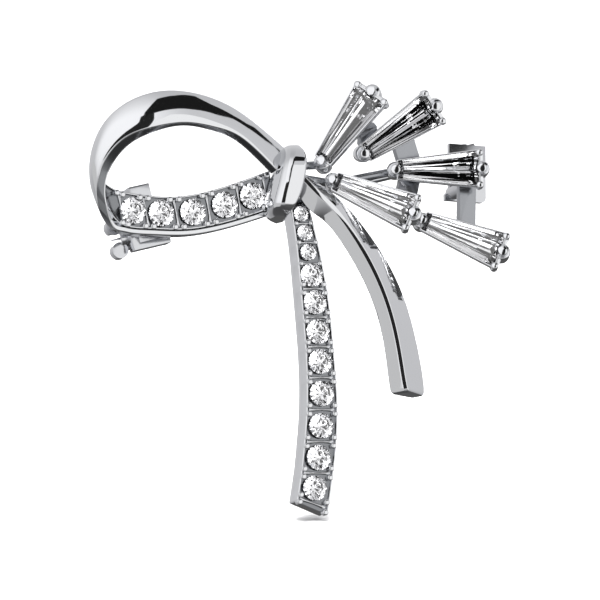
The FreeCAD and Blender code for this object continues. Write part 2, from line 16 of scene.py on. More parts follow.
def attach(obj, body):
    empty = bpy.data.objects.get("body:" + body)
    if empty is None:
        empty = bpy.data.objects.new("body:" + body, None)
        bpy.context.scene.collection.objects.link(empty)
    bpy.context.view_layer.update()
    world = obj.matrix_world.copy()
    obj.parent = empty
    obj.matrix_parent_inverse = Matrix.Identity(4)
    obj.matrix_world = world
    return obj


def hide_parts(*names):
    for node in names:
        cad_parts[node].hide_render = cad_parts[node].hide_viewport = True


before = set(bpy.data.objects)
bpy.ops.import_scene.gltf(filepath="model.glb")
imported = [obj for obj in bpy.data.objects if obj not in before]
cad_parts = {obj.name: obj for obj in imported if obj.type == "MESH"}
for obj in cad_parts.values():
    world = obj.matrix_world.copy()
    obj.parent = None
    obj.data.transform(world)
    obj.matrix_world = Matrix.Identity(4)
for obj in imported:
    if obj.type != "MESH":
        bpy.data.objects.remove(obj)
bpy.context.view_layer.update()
MM = 0.001
print("CAD nodes:", len(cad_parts))

# %% [markdown]
# ## Directions
# Worn on cloth, the brooch faces -Y and +Z is up. The CAD model's origin lies on the pin. The bow is easier
# to draw from a point a little higher, so every place below is in millimetres from there, and each mesh is
# lowered and scaled to metres when it is made.

# %% Directions and the drawing's origin
FRONT = np.array([0.0, -1.0, 0.0])
UP = np.array([0.0, 0.0, 1.0])
DRAWN_ABOVE = 1.50
TO_FRAME = Matrix.Scale(MM, 4) @ Matrix.Translation((0.0, 0.0, -DRAWN_ABOVE))


def unit(v):
    v = np.asarray(v, float)
    return v / np.linalg.norm(v)


print("drawing origin above the pin:", DRAWN_ABOVE, "mm")

# %% [markdown]
# ## Smooth rails
# A ribbon is drawn by a few stations along its length. A natural cubic spline passes through them all with
# no kink, as a strip of springy metal would, so few points give a fair curve.

# %% A cubic spline through points


def spline(points):
    """A function of the station number that passes smoothly through the points."""
    p = np.asarray(points, float)
    n = len(p)
    matrix = np.eye(n)
    right = np.zeros_like(p)
    for i in range(1, n - 1):
        matrix[i, i - 1:i + 2] = (1, 4, 1)
        right[i] = 6 * (p[i + 1] - 2 * p[i] + p[i - 1])
    bend = np.linalg.solve(matrix, right)

    def at(s):
        i = int(min(max(math.floor(s), 0), n - 2))
        u = s - i
        v = 1 - u
        curve = (v ** 3 - v) * bend[i] + (u ** 3 - u) * bend[i + 1]
        return v * p[i] + u * p[i + 1] + curve / 6

    return at


def ramp(s, start, end):
    """0 before start, 1 after end, and an even slope between."""
    return min(max((s - start) / (end - start), 0.0), 1.0)


def ease(s, start, end):
    """Like ramp, with soft ends."""
    x = ramp(s, start, end)
    return x * x * (3 - 2 * x)


# %% [markdown]
# ## Rounded outlines and sweeps
# Polished metal never has a knife edge: the wheel rounds every corner, and the bright line along an edge is
# that rounding. So each cross-section is a polygon whose corners are turned into small curves. A sweep then
# joins one ring of points to the next along the ribbon and closes both ends. A corner's curve may take up to
# nearly half of each side that meets there, so neighbouring curves never cross.

# %% Rounded sections and swept meshes
CORNER_STEPS = 5
SIDE_SHARE = 0.49
TINY = 1e-9


def rounded(corners, radii, steps=CORNER_STEPS):
    """The corners of a closed outline, each turned into a short curve of steps + 1 points."""
    c = [np.asarray(p, float) for p in corners]
    ring = []
    for i, (corner, radius) in enumerate(zip(c, radii)):
        before = c[i - 1] - corner
        after = c[(i + 1) % len(c)] - corner
        a = corner + before * min(radius / max(np.linalg.norm(before), TINY), SIDE_SHARE)
        b = corner + after * min(radius / max(np.linalg.norm(after), TINY), SIDE_SHARE)
        for k in range(steps + 1):
            u = k / steps
            ring.append((1 - u) ** 2 * a + 2 * u * (1 - u) * corner + u * u * b)
    return ring


def new_object(name, bm, smooth=True, crease_deg=32):
    """Turn a bmesh in millimetres into an object in metres, smooth except over sharp folds."""
    bmesh.ops.recalc_face_normals(bm, faces=bm.faces)
    mesh = bpy.data.meshes.new(name)
    bm.to_mesh(mesh)
    bm.free()
    mesh.transform(TO_FRAME)
    obj = bpy.data.objects.new(name, mesh)
    bpy.context.scene.collection.objects.link(obj)
    if smooth:
        mesh.shade_smooth()
        mesh.set_sharp_from_angle(angle=math.radians(crease_deg))
    return obj


def add_sweep(bm, rings, second=()):
    """Join rings into a closed tube with capped ends; the sides listed in second get the second material."""
    rows = [[bm.verts.new(p) for p in ring] for ring in rings]
    count = len(rows[0])
    for low, high in zip(rows, rows[1:]):
        for i in range(count):
            j = (i + 1) % count
            face = bm.faces.new((low[i], low[j], high[j], high[i]))
            face.material_index = int(i in second)
    bm.faces.new(rows[0][::-1])
    bm.faces.new(rows[-1])


def round_ends(rings, radius=0.16, steps=4):
    """The same sweep with each end's edge turned over a small radius."""
    rings = [np.array(ring) for ring in rings]
    caps = []
    for ring, inner in ((rings[0], rings[1]), (rings[-1], rings[-2])):
        middle = ring.mean(axis=0)
        outward = unit(middle - inner.mean(axis=0)) * radius
        spread = np.linalg.norm(ring - middle, axis=1).mean()
        cap = []
        for k in range(1, steps + 1):
            a = math.pi / 2 * k / steps
            share = 1 - radius / spread * (1 - math.cos(a))
            cap.append(middle + outward * (math.sin(a) - 1) + (ring - middle) * share)
        caps.append(cap)
    keep = [ring for ring in rings
            if np.linalg.norm(ring.mean(axis=0) - rings[0].mean(axis=0)) > radius
            and np.linalg.norm(ring.mean(axis=0) - rings[-1].mean(axis=0)) > radius]
    return caps[0][::-1] + keep + caps[1]


def swept(name, rings, crease_deg=32, second=()):
    bm = bmesh.new()
    add_sweep(bm, rings, second)
    return new_object(name, bm, crease_deg=crease_deg)


# %% [markdown]
# ## Colours and materials
# A maker's colours are written as sRGB hex values. The shader wants linear light, so one function turns one
# into the other. One more small function adds a node with its settings and its links, and every material
# below is made with it.

# %% Colour and node helpers


def hex_to_linear(value):
    """'#rrggbb' to linear red, green, blue and an alpha of 1."""
    shares = [int(value[i:i + 2], 16) / 255 for i in (1, 3, 5)]
    linear = [s / 12.92 if s <= 0.04045 else ((s + 0.055) / 1.055) ** 2.4 for s in shares]
    return (*linear, 1.0)


def add_node(tree, kind, settings=None, **inputs):
    """Add a node, set its properties, and give each named input a value or another node's output."""
    node = tree.nodes.new(kind)
    for key, value in (settings or {}).items():
        setattr(node, key, value)
    for key, value in inputs.items():
        socket = node.inputs[key.replace("_", " ")]
        if isinstance(value, bpy.types.NodeSocket):
            tree.links.new(value, socket)
        else:
            socket.default_value = value
    return node


def new_material(name):
    material = bpy.data.materials.new(name)
    material.use_nodes = True
    material.node_tree.nodes.clear()
    return material, material.node_tree


MARK_HEIGHT_MM = 0.02
WEAR_MM = 4.0


def metal(name, colour, roughness, scratch_mm, scratch_depth):
    """A polished or brushed metal: faint polishing marks in the normal, and an uneven polish."""
    material, tree = new_material(name)
    place = add_node(tree, "ShaderNodeTexCoord")
    marks = add_node(tree, "ShaderNodeTexNoise", Vector=place.outputs["Object"],
                     Scale=1 / (scratch_mm * MM), Detail=4.0, Roughness=0.6)
    bump = add_node(tree, "ShaderNodeBump", Strength=scratch_depth, Distance=MARK_HEIGHT_MM * MM,
                    Height=marks.outputs["Fac"])
    wear = add_node(tree, "ShaderNodeTexNoise", Vector=place.outputs["Object"],
                    Scale=1 / (WEAR_MM * MM), Detail=2.0)
    polish = add_node(tree, "ShaderNodeMapRange", Value=wear.outputs["Fac"])
    polish.inputs["To Min"].default_value = roughness * 0.7
    polish.inputs["To Max"].default_value = roughness * 1.3
    shader = add_node(tree, "ShaderNodeBsdfPrincipled", Base_Color=hex_to_linear(colour), Metallic=1.0,
                      Roughness=polish.outputs["Result"], Normal=bump.outputs["Normal"])
    add_node(tree, "ShaderNodeOutputMaterial", Surface=shader.outputs["BSDF"])
    return material


# %% [markdown]
# ## Rhodium-plated silver
# Rhodium is a cool, bright white metal. Buffed with rouge it is close to a mirror, so what the eye sees is
# mostly the room: white where it faces a light tent, black where it faces a dark card. Its colour is only a
# little darker and cooler than silver's. The castings behind are tumbled, not buffed, so they are softer.
# The bars between the settings are rougher, and their darker grey is painted shade, as they stand behind.
# Where a graver has cut, in the seats, on the channel's floor and on the loop's inner edge, the metal is
# finely scored and rougher; its darker grey there is painted shade.
# Polishing marks are far finer than shows here, so they are drawn between 0.25 and 1.6 mm across.

# %% The metals
plated_silver = metal("rhodium-plated silver, buffed", "#e9eaec", 0.045, 1.6, 0.02)
# Its darker grey is painted shade in the seats, on the channel's floor and on the loop's edge; the scoring
# and roughness are real.
scored_silver_painted_shade = metal("rhodium-plated silver, cut with a graver", "#8b8d90", 0.14, 0.25, 0.10)
cast_silver = metal("rhodium-plated silver, tumbled", "#d9dadd", 0.16, 0.5, 0.06)
# A darker grey for the bars and the strut behind the settings: painted shade where they lie behind the
# settings.
painted_shade_bar_silver = metal("rhodium-plated silver, as cast", "#a7a9ad", 0.22, 0.4, 0.08)
pin_wire = metal("drawn hard wire, plated", "#dcdde0", 0.10, 0.3, 0.05)
print("metals:", [m.name for m in (plated_silver, scored_silver_painted_shade, cast_silver, painted_shade_bar_silver, pin_wire)])

# %% [markdown]
# ## Cubic zirconia
# The stones are colourless, cut and polished flat. Their index of refraction is about 2.15, close to
# diamond's 2.42, and that is what bends light back out through the table as sparkle. A real transmission
# shader over true facets gives it, with no painted sparkle.

# %% The stone's material
CZ_IOR = 2.15
cubic_zirconia, cz_tree = new_material("cubic zirconia")
cz_shader = add_node(cz_tree, "ShaderNodeBsdfPrincipled", Base_Color=hex_to_linear("#fdfdff"),
                     Roughness=0.0, IOR=CZ_IOR, Transmission_Weight=1.0)
add_node(cz_tree, "ShaderNodeOutputMaterial", Surface=cz_shader.outputs["BSDF"])
print("index of refraction:", CZ_IOR)


def finish_piece(obj, material, slot, body, *nodes):
    """Give a piece its material, the body it rides on and the CAD nodes it stands for. The slot is not used.
    """
    if not obj.data.materials:
        obj.data.materials.append(material)
    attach(obj, body)
    if nodes:
        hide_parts(*nodes)
    return obj


# %% [markdown]
# ## The round brilliant
# A round brilliant has a table, eight star facets, eight kites and sixteen upper girdle facets above the
# girdle, and sixteen lower girdle facets and eight mains below it. All the corners lie on a few rings, so
# each ring is a loop, and the tight skin around them all is the cut stone.

# %% Corners of a brilliant
CROWN = 0.16
GIRDLE = 0.035
PAVILION = 0.42
TABLE = 0.56
KITE_OUT = 0.79
KITE_UP = 0.545
LOWER_OUT = 0.23
LOWER_DOWN = 0.79


def brilliant_points(diameter):
    """Corners of a round brilliant, girdle's top edge at height 0, table upwards."""
    r = diameter / 2
    crown = CROWN * diameter
    girdle = GIRDLE * diameter
    pavilion = PAVILION * diameter
    points = [(0, 0, -girdle - pavilion)]
    for k in range(8):
        table_turn = (k + 0.5) * math.pi / 4
        kite_turn = k * math.pi / 4
        points.append((TABLE * r * math.cos(table_turn), TABLE * r * math.sin(table_turn), crown))
        kite_r = KITE_OUT * r
        points.append((kite_r * math.cos(kite_turn), kite_r * math.sin(kite_turn), crown * KITE_UP))
        low_r = LOWER_OUT * r
        points.append((low_r * math.cos(kite_turn + math.pi / 8), low_r * math.sin(kite_turn + math.pi / 8),
                       -girdle - pavilion * LOWER_DOWN))
    for k in range(16):
        turn = k * math.pi / 8
        points.append((r * math.cos(turn), r * math.sin(turn), 0))
        points.append((r * math.cos(turn), r * math.sin(turn), -girdle))
    return points


def basis(axis, hint=UP):
    """A turn that takes +Z to axis, with the hint direction kept as near upright as it can be."""
    z = unit(axis)
    x = np.cross(hint, z)
    if np.linalg.norm(x) < 1e-6:
        x = np.cross((1.0, 0.0, 0.0), z)
    x = unit(x)
    return np.array([x, np.cross(z, x), z]).T


def hull(name, points, flat_deg=0.6):
    """The tight skin around the points, with its flat facets kept whole."""
    bm = bmesh.new()
    verts = [bm.verts.new(p) for p in points]
    made = bmesh.ops.convex_hull(bm, input=verts)
    bmesh.ops.delete(bm, geom=[v for v in made["geom_interior"] if isinstance(v, bmesh.types.BMVert)],
                     context="VERTS")
    bmesh.ops.dissolve_limit(bm, angle_limit=math.radians(flat_deg), verts=bm.verts, edges=bm.edges)
    return new_object(name, bm, smooth=False)


STONE_LIFT = 0.008
STONE_SHARE = 0.985


def round_stone(name, at, axis, diameter, turn_deg, node):
    """A brilliant a hair smaller than its seat, turned on its own axis as stones are when they are set."""
    turn = np.array(Matrix.Rotation(math.radians(turn_deg), 3, "Z"))
    to_place = basis(axis) @ turn
    girdle_at = np.asarray(at) + unit(axis) * STONE_LIFT
    stone = hull(name, [girdle_at + to_place @ np.array(p) for p in brilliant_points(diameter * STONE_SHARE)])
    return finish_piece(stone, cubic_zirconia, "cubic_zirconia", "bow", node)


# %% [markdown]
# ## Seats and beads
# In pave work the setter drills a hole for every stone, opens it to a cone that fits the stone, and raises
# little beads of metal that lap over the girdle. The seat is cut out of the ribbon's mesh with a cone and a
# drill together. Each bead is a short post with a low, domed head, as the setter's cupped tool leaves it.

# %% Turned shapes and cutters for the seats
DRILL_SHARE = 0.26
SEAT_PAVILION = 0.46
SEAT_PLAY = 0.02
SEAT_ABOVE = 0.4
SEAT_CREASE_DEG = 30


def lathe(profile, at, axis, turns=40, hint=UP):
    """Rings of a turned shape from (radius, height) points; the ends close on the axis."""
    to_place = basis(axis, hint)
    rings = []
    for radius, height in profile:
        ring = []
        for k in range(turns):
            a = 2 * math.pi * k / turns
            local = np.array([radius * math.cos(a), radius * math.sin(a), height])
            ring.append(np.asarray(at) + to_place @ local)
        rings.append(ring)
    return rings


def add_seat_cutter(bm, at, axis, diameter, depth):
    """The light hole's drill, the cone under the girdle and the straight wall above, as one turned shape."""
    r = diameter / 2
    profile = [
        (DRILL_SHARE * diameter, -depth),
        (DRILL_SHARE * diameter, -(GIRDLE + PAVILION * SEAT_PAVILION) * diameter - 1.5 * SEAT_PLAY),
        (r, -GIRDLE * diameter - SEAT_PLAY),
        (r, SEAT_ABOVE * diameter),
    ]
    add_sweep(bm, lathe(profile, at, axis, turns=32))


def settle(obj):
    """Make what the modifiers show into the object's own mesh."""
    graph = bpy.context.evaluated_depsgraph_get()
    graph.update()
    mesh = bpy.data.meshes.new_from_object(obj.evaluated_get(graph))
    obj.modifiers.clear()
    obj.data = mesh


def cut_seats(obj, stones):
    """Take every stone's seat out of the metal."""
    bm = bmesh.new()
    for at, axis, diameter, depth in stones:
        add_seat_cutter(bm, at, axis, diameter, depth)
    cutter = new_object(obj.name + "_cutter", bm, smooth=False)
    # The seats take the cutter's darker grey metal, painted shade in the hollows.
    cutter.data.materials.append(scored_silver_painted_shade)
    obj.data.materials.append(plated_silver)
    obj.data.materials.append(scored_silver_painted_shade)
    change = obj.modifiers.new("seats", "BOOLEAN")
    change.operation = "DIFFERENCE"
    change.solver = "EXACT"
    change.object = cutter
    change.material_mode = "TRANSFER"
    settle(obj)
    bpy.data.objects.remove(cutter)
    obj.data.shade_smooth()
    obj.data.set_sharp_from_angle(angle=math.radians(SEAT_CREASE_DEG))


BEAD_ROOT = 0.45
BEAD_NECK = 0.96
BEAD_HEAD = [(1.0, 0.04), (0.97, 0.09), (0.86, 0.13), (0.66, 0.155), (0.36, 0.165), (0.05, 0.168)]


def bead_rings(at, axis, radius, turns=18):
    """A short post with a domed head."""
    profile = [(radius * BEAD_NECK, -BEAD_ROOT)]
    profile += [(radius * share, height) for share, height in BEAD_HEAD]
    return lathe(profile, at, axis, turns)


BRIDGE_SECTION = [(-0.15, -0.5), (0.15, -0.5), (0.11, -0.20), (0.05, -0.12), (-0.05, -0.12), (-0.11, -0.20)]
BRIDGE_WAIST = [(0.0, 1.5), (0.25, 0.9), (0.5, 0.7), (0.75, 0.9), (1.0, 1.5)]
BRIDGE_IN = 0.30


def bridge_rings(start, end, facing):
    """A ridge of metal left standing between two seats, waisted in the middle."""
    across = unit(end - start)
    along = unit(np.cross(facing, across))
    rings = []
    for share, full in BRIDGE_WAIST:
        at = start + (end - start) * share
        rings.append([at + along * a * full + facing * h for a, h in BRIDGE_SECTION])
    return rings


def beads(name, places, bridges=()):
    bm = bmesh.new()
    for at, axis, radius in places:
        add_sweep(bm, bead_rings(at, axis, radius))
    for start, end, facing in bridges:
        add_sweep(bm, bridge_rings(start, end, facing))
    obj = new_object(name, bm, crease_deg=60)
    return finish_piece(obj, plated_silver, "polished_silver", "bow")


# %% [markdown]
# ## The ribbon loop
# The ribbon leaves the knot in front, arches up and over, bends back round the end and returns lower down
# behind, where its inner face carries the stones in a sunken channel. Its outer face is domed. Round the far
# end its lower edge is filed at a slant, and below the stones it is rolled over into a lip. A sweep through a
# few listed stations keeps the ribbon's twist under control: each station holds the upper edge and the
# lower edge of the outer face.

# %% Stations of the loop
LOOP_STATIONS = [
    ((-2.55, -5.30, 4.75), (-3.70, -6.70, 2.40)),
    ((-5.90, -6.10, 6.80), (-6.80, -7.10, 4.75)),
    ((-8.80, -6.70, 8.00), (-9.25, -7.30, 5.50)),
    ((-12.00, -7.00, 8.50), (-12.00, -7.35, 5.70)),
    ((-15.00, -6.80, 8.15), (-14.80, -7.10, 5.15)),
    ((-17.55, -6.10, 6.80), (-17.10, -6.40, 4.15)),
    ((-19.10, -5.20, 4.65), (-18.60, -5.40, 2.15)),
    ((-19.45, -4.20, 2.35), (-18.85, -4.30, 0.05)),
    ((-18.80, -3.15, 1.15), (-18.05, -3.15, -1.40)),
    ((-17.10, -2.55, 0.40), (-16.45, -2.45, -2.60)),
    ((-14.45, -2.40, 0.15), (-13.75, -2.25, -2.70)),
    ((-10.95, -2.40, 0.35), (-10.30, -2.20, -2.45)),
    ((-7.00, -2.60, 1.50), (-6.40, -2.40, -1.45)),
    ((-3.30, -3.00, 3.00), (-2.70, -2.80, -0.10)),
]
LOOP_RETURN = 8
BAND_THICK = 0.72
PAVE_THICK = 1.25
LOOP_STONES_AT = (9.55, 10.38, 11.15, 11.87, 12.52)
LOOP_STONE_D = 2.30
LOOP_CHANNEL = 0.34
LOOP_RIM = 0.14
LOOP_GROOVE = 0.42
LOOP_ROLL = 0.50
LOOP_LIP = 0.40
LOOP_SLANT = 0.85
loop_top = spline([top for top, low in LOOP_STATIONS])
loop_low = spline([low for top, low in LOOP_STATIONS])


def loop_frame(s):
    """Upper edge, lower edge, direction down the width, and the outer face's normal at a station."""
    last = len(LOOP_STATIONS) - 1
    a = max(s - 0.02, 0)
    b = min(s + 0.02, last)
    tangent = loop_top(b) + loop_low(b) - loop_top(a) - loop_low(a)
    down = unit(loop_low(s) - loop_top(s))
    return loop_top(s), loop_low(s), down, unit(np.cross(tangent, down))


def loop_thickness(s):
    return BAND_THICK + (PAVE_THICK - BAND_THICK) * ramp(s, LOOP_RETURN, LOOP_RETURN + 1.5)


def loop_ring(s):
    """Domed outer face, a rolled lip that grows along the bottom, and a channel for the stones inside."""
    top, low, down, out = loop_frame(s)
    width = np.linalg.norm(low - top)
    thick = loop_thickness(s)
    lip = ease(s, LOOP_RETURN - 2.2, LOOP_RETURN + 0.6)
    pave = ease(s, LOOP_RETURN - 0.2, LOOP_RETURN + 1.2)
    channel = LOOP_CHANNEL * pave + 0.001
    groove = LOOP_GROOVE * lip
    roll = LOOP_ROLL * lip
    slant = LOOP_SLANT * ease(s, 2.6, 6.5) * (1 - ease(s, 8.0, 9.2))
    corners = [
        (0, 0),
        (0.42 * width, 0.24),
        (0.86 * width, 0.14 + 0.06 * lip),
        (width + roll, 0.02 + 0.10 * lip),
        (width + roll + slant, -thick + 0.10 * lip),
        (width + roll + slant - LOOP_LIP * lip - 0.01, -thick + 0.02 * lip),
        (width - 0.02, -thick + groove),
        (width - 0.04, -thick),
        (width - LOOP_RIM, -thick),
        (width - LOOP_RIM, -thick + channel),
        (LOOP_RIM, -thick + channel),
        (LOOP_RIM, -thick),
        (0, -thick),
    ]
    radii = (0.14, 1.2, 0.30, 0.10, 0.14, 0.06, 0.01, 0.01, 0.03, 0.03, 0.03, 0.03, 0.08)
    return [top + down * a + out * b for a, b in rounded(corners, radii)]


# The cut metal, scored and darker grey as painted shade, shows on the channel's floor and its upper wall, and
# on the ribbon's lower edge.
LOOP_ROWS = 300
CORNER_POINTS = CORNER_STEPS + 1
LOOP_FLOOR = list(range(10 * CORNER_POINTS - 1, 11 * CORNER_POINTS))
LOOP_EDGE = [4 * CORNER_POINTS - 1]
loop_rings = [loop_ring(13 * k / LOOP_ROWS) for k in range(LOOP_ROWS + 1)]
loop = swept("ribbon_loop_band", loop_rings, second=LOOP_FLOOR + LOOP_EDGE)

loop_seats = []
for number, s in enumerate(LOOP_STONES_AT, 1):
    top, low, down, out = loop_frame(s)
    centre = (top + low) / 2 - out * loop_thickness(s)
    loop_seats.append((centre, -out, LOOP_STONE_D, 2.4))
    round_stone(f"loop_brilliant_{number}", centre, -out, LOOP_STONE_D, 13 * number, f"loop_stone_{number}")
cut_seats(loop, loop_seats)
finish_piece(loop, plated_silver, "polished_silver", "bow", "ribbon_loop")
print("loop faces:", len(loop.data.polygons))

# %% [markdown]
# ### The loop's beads
# Two beads stand on each edge between neighbouring stones, as a setter leaves them, and a low bridge of metal
# crosses the channel from edge to edge between the seats.

# %% Beads of the loop
BEAD_PAIR = (0.36, 0.64)
LOOP_BEAD_R = 0.27
LOOP_BEAD_IN = 0.26
loop_beads = []
loop_bridges = []
ends = (LOOP_STONES_AT[0] - 0.8,) + LOOP_STONES_AT + (LOOP_STONES_AT[-1] + 0.6,)
for left, right in zip(ends, ends[1:]):
    for share in BEAD_PAIR:
        s = left + (right - left) * share
        top, low, down, out = loop_frame(s)
        inner = -out * (loop_thickness(s) - 0.02)
        loop_beads.append((top + inner + down * LOOP_BEAD_IN, -out, LOOP_BEAD_R))
        loop_beads.append((low + inner - down * LOOP_BEAD_IN, -out, LOOP_BEAD_R))
    top, low, down, out = loop_frame((left + right) / 2)
    inner = -out * loop_thickness((left + right) / 2)
    loop_bridges.append((top + inner + down * BRIDGE_IN, low + inner - down * BRIDGE_IN, -out))
beads("loop_bead_row", loop_beads, loop_bridges)
print("loop beads:", len(loop_beads))

# %% [markdown]
# ## The pave tail
# The straight tail is a bar two millimetres thick whose face carries eleven stones in a sunken channel. Its
# side walls are hollowed beside each stone, by only a twentieth of a millimetre, and that is enough to break
# the reflections along them into bright and dark steps.

# %% Stations and stones of the tail
TAIL_THICK = 2.00
TAIL_CHANNEL = 0.32
TAIL_RIM = 0.13
TAIL_HOLLOW = 0.05
TAIL_EDGES = [
    ((-2.00, -5.00, 0.40), (-0.40, -5.00, 0.55)),
    ((-1.35, -5.00, -3.60), (0.70, -5.00, -3.45)),
    ((-0.85, -4.90, -8.25), (1.65, -4.90, -8.10)),
    ((-0.45, -4.80, -12.50), (2.15, -4.80, -12.35)),
    ((-0.30, -4.70, -16.75), (2.50, -4.70, -16.60)),
    ((-0.50, -4.65, -20.15), (2.45, -4.65, -20.00)),
    ((-0.75, -4.60, -22.70), (2.20, -4.60, -22.55)),
    ((-1.15, -4.60, -25.30), (1.65, -4.60, -26.30)),
]
TAIL_STONES = [
    (-0.85, 1.35),
    (-2.45, 1.40),
    (-4.10, 1.45),
    (-6.05, 2.05),
    (-8.35, 2.10),
    (-10.85, 2.15),
    (-13.40, 2.15),
    (-16.10, 2.20),
    (-18.85, 2.20),
    (-21.55, 2.20),
    (-24.15, 2.15),
]
tail_left = spline([left for left, right in TAIL_EDGES])
tail_right = spline([right for left, right in TAIL_EDGES])


def tail_station(height):
    """The station whose middle lies at a height, by halving."""
    low, high = 0.0, len(TAIL_EDGES) - 1.0
    for _ in range(40):
        middle = (low + high) / 2
        if (tail_left(middle)[2] + tail_right(middle)[2]) / 2 > height:
            low = middle
        else:
            high = middle
    return low


def scallop(height):
    """1 beside a big stone's middle, 0 in the gap between two."""
    near = min(((abs(height - h), d) for h, d in TAIL_STONES), key=lambda pair: pair[0])
    return max(0.0, 1 - (near[0] / (0.44 * near[1])) ** 2)


def tail_ring(s):
    left, right = tail_left(s), tail_right(s)
    across = unit(right - left)
    width = np.linalg.norm(right - left)
    height = (left[2] + right[2]) / 2
    bite = TAIL_HOLLOW * scallop(height) * ramp(s, 0.8, 1.2)
    corners = [
        (TAIL_RIM, 0),
        (0, 0),
        (0, -0.22),
        (bite, -0.34 - 0.1 * bite),
        (bite, -1.25),
        (0, -1.38),
        (0, -TAIL_THICK),
        (width, -TAIL_THICK),
        (width, -1.38),
        (width - bite, -1.25),
        (width - bite, -0.34 - 0.1 * bite),
        (width, -0.22),
        (width, 0),
        (width - TAIL_RIM, 0),
        (width - TAIL_RIM, -TAIL_CHANNEL),
        (TAIL_RIM, -TAIL_CHANNEL),
    ]
    radii = (0.03, 0.05, 0.05, 0.05, 0.1, 0.1, 0.1, 0.1, 0.1, 0.1, 0.05, 0.05, 0.05, 0.03, 0.03, 0.03)
    return [left + across * a + FRONT * b for a, b in rounded(corners, radii, 3)]


# The channel's floor lies between the section's last two corners, and shows the cut metal, darker grey as
# painted shade.
TAIL_ROWS = 420
tail_rings = [tail_ring(7 * k / TAIL_ROWS) for k in range(TAIL_ROWS + 1)]
tail_sides = len(tail_rings[0])
TAIL_FLOOR = range(tail_sides - 6, tail_sides - 3)
tail = swept("pave_tail_bar", round_ends(tail_rings, 0.12), second=TAIL_FLOOR)
tail_seats = []
for number, (height, diameter) in enumerate(TAIL_STONES, 1):
    s = tail_station(height)
    centre = (tail_left(s) + tail_right(s)) / 2
    tail_seats.append((centre, FRONT, diameter, TAIL_THICK + 1))
    round_stone(f"tail_brilliant_{number}", centre, FRONT, diameter, 17 * number, f"tail_stone_{number}")
cut_seats(tail, tail_seats)
finish_piece(tail, plated_silver, "polished_silver", "bow", "pave_tail")
print("tail faces:", len(tail.data.polygons))

# %% [markdown]
# ### The tail's beads
# Each gap between two stones has a pair of beads at either edge. The small stones near the knot share one
# bead a side. A bridge crosses the channel in every gap.

# %% Beads of the tail
SMALL_GAPS = 3
SMALL_BEAD_R = 0.21
TAIL_BEAD_R = 0.26
TAIL_BEAD_IN = 0.27
TAIL_BEAD_LIFT = 0.02
TAIL_BEAD_STEP = 0.36
LAST_GAP = 1.25
tail_bead_places = []
tail_bridges = []
heights = [h for h, d in TAIL_STONES]
gap_heights = [(a + b) / 2 for a, b in zip(heights, heights[1:])] + [heights[-1] - LAST_GAP]
for number, height in enumerate(gap_heights):
    steps = (0.0,) if number < SMALL_GAPS else (-TAIL_BEAD_STEP, TAIL_BEAD_STEP)
    radius = SMALL_BEAD_R if number < SMALL_GAPS else TAIL_BEAD_R
    for step in steps:
        s = tail_station(height + step)
        left, right = tail_left(s), tail_right(s)
        across = unit(right - left)
        lift = FRONT * TAIL_BEAD_LIFT
        tail_bead_places.append((left + across * TAIL_BEAD_IN + lift, FRONT, radius))
        tail_bead_places.append((right - across * TAIL_BEAD_IN + lift, FRONT, radius))
    s = tail_station(height)
    across = unit(tail_right(s) - tail_left(s))
    tail_bridges.append((tail_left(s) + across * BRIDGE_IN, tail_right(s) - across * BRIDGE_IN, FRONT))
beads("tail_bead_row", tail_bead_places, tail_bridges)
print("tail beads:", len(tail_bead_places))

# %% [markdown]
# ## The plain tail
# The second tail is a polished ribbon turned on its length, so that its face looks to the right and its
# left edge shows as a wall. Three rails give the front ridge, the far edge of the face and the back of the
# wall; the fourth corner follows from them. The ridge itself is a narrow flat, filed between face and wall,
# and it is this flat that draws a dark line down the tail. The far edge is moved about a millimetre towards
# the front, which turns the face just enough to mirror the white card and not the settings beside it.

# %% The plain tail's sweep
PLAIN_STATIONS = [
    ((-1.95, -6.80, 1.95), (-1.30, -5.20, 2.95), (-2.20, -6.05, 1.25)),
    ((0.10, -6.90, 0.05), (1.35, -5.20, 1.40), (-0.40, -6.10, -0.85)),
    ((1.95, -6.80, -1.70), (3.55, -5.00, -0.25), (1.35, -6.00, -2.10)),
    ((4.75, -6.50, -5.70), (6.80, -4.60, -4.00), (4.20, -5.60, -5.90)),
    ((6.70, -6.10, -10.25), (9.20, -4.20, -8.60), (6.15, -5.20, -10.30)),
    ((7.60, -5.80, -14.20), (10.55, -3.80, -13.60), (6.95, -4.90, -14.30)),
    ((7.95, -5.75, -15.85), (10.75, -3.75, -15.75), (7.25, -4.85, -15.95)),
]
RIDGE_FACING = np.array([-0.30, -0.95, -0.06])
RIDGE_WIDE = 0.38
RIDGE_SHIFT = 0.15
OUTER_TOWARDS = np.array([-0.37, -1.01, -0.19])
plain_ridge = spline([p[0] for p in PLAIN_STATIONS])
plain_outer = spline([p[1] for p in PLAIN_STATIONS])
plain_wall = spline([p[2] for p in PLAIN_STATIONS])


def plain_ring(s):
    ridge, outer, wall = plain_ridge(s), plain_outer(s) + OUTER_TOWARDS, plain_wall(s)
    face = outer - ridge
    side = wall - ridge
    normal = unit(np.cross(face, np.cross(face, side)))
    if normal @ side > 0:
        normal = -normal
    last = len(PLAIN_STATIONS) - 1
    tangent = plain_ridge(min(s + 0.02, last)) - plain_ridge(max(s - 0.02, 0))
    across = unit(np.cross(tangent, RIDGE_FACING))
    if across @ face < 0:
        across = -across
    ridge = ridge + across * RIDGE_SHIFT
    crest = ridge + across * RIDGE_WIDE
    corners = [ridge, crest, (crest + outer) / 2 + normal * 0.05, outer, outer + side, wall]
    return rounded(corners, (0.05, 0.05, 0.8, 0.10, 0.12, 0.10))


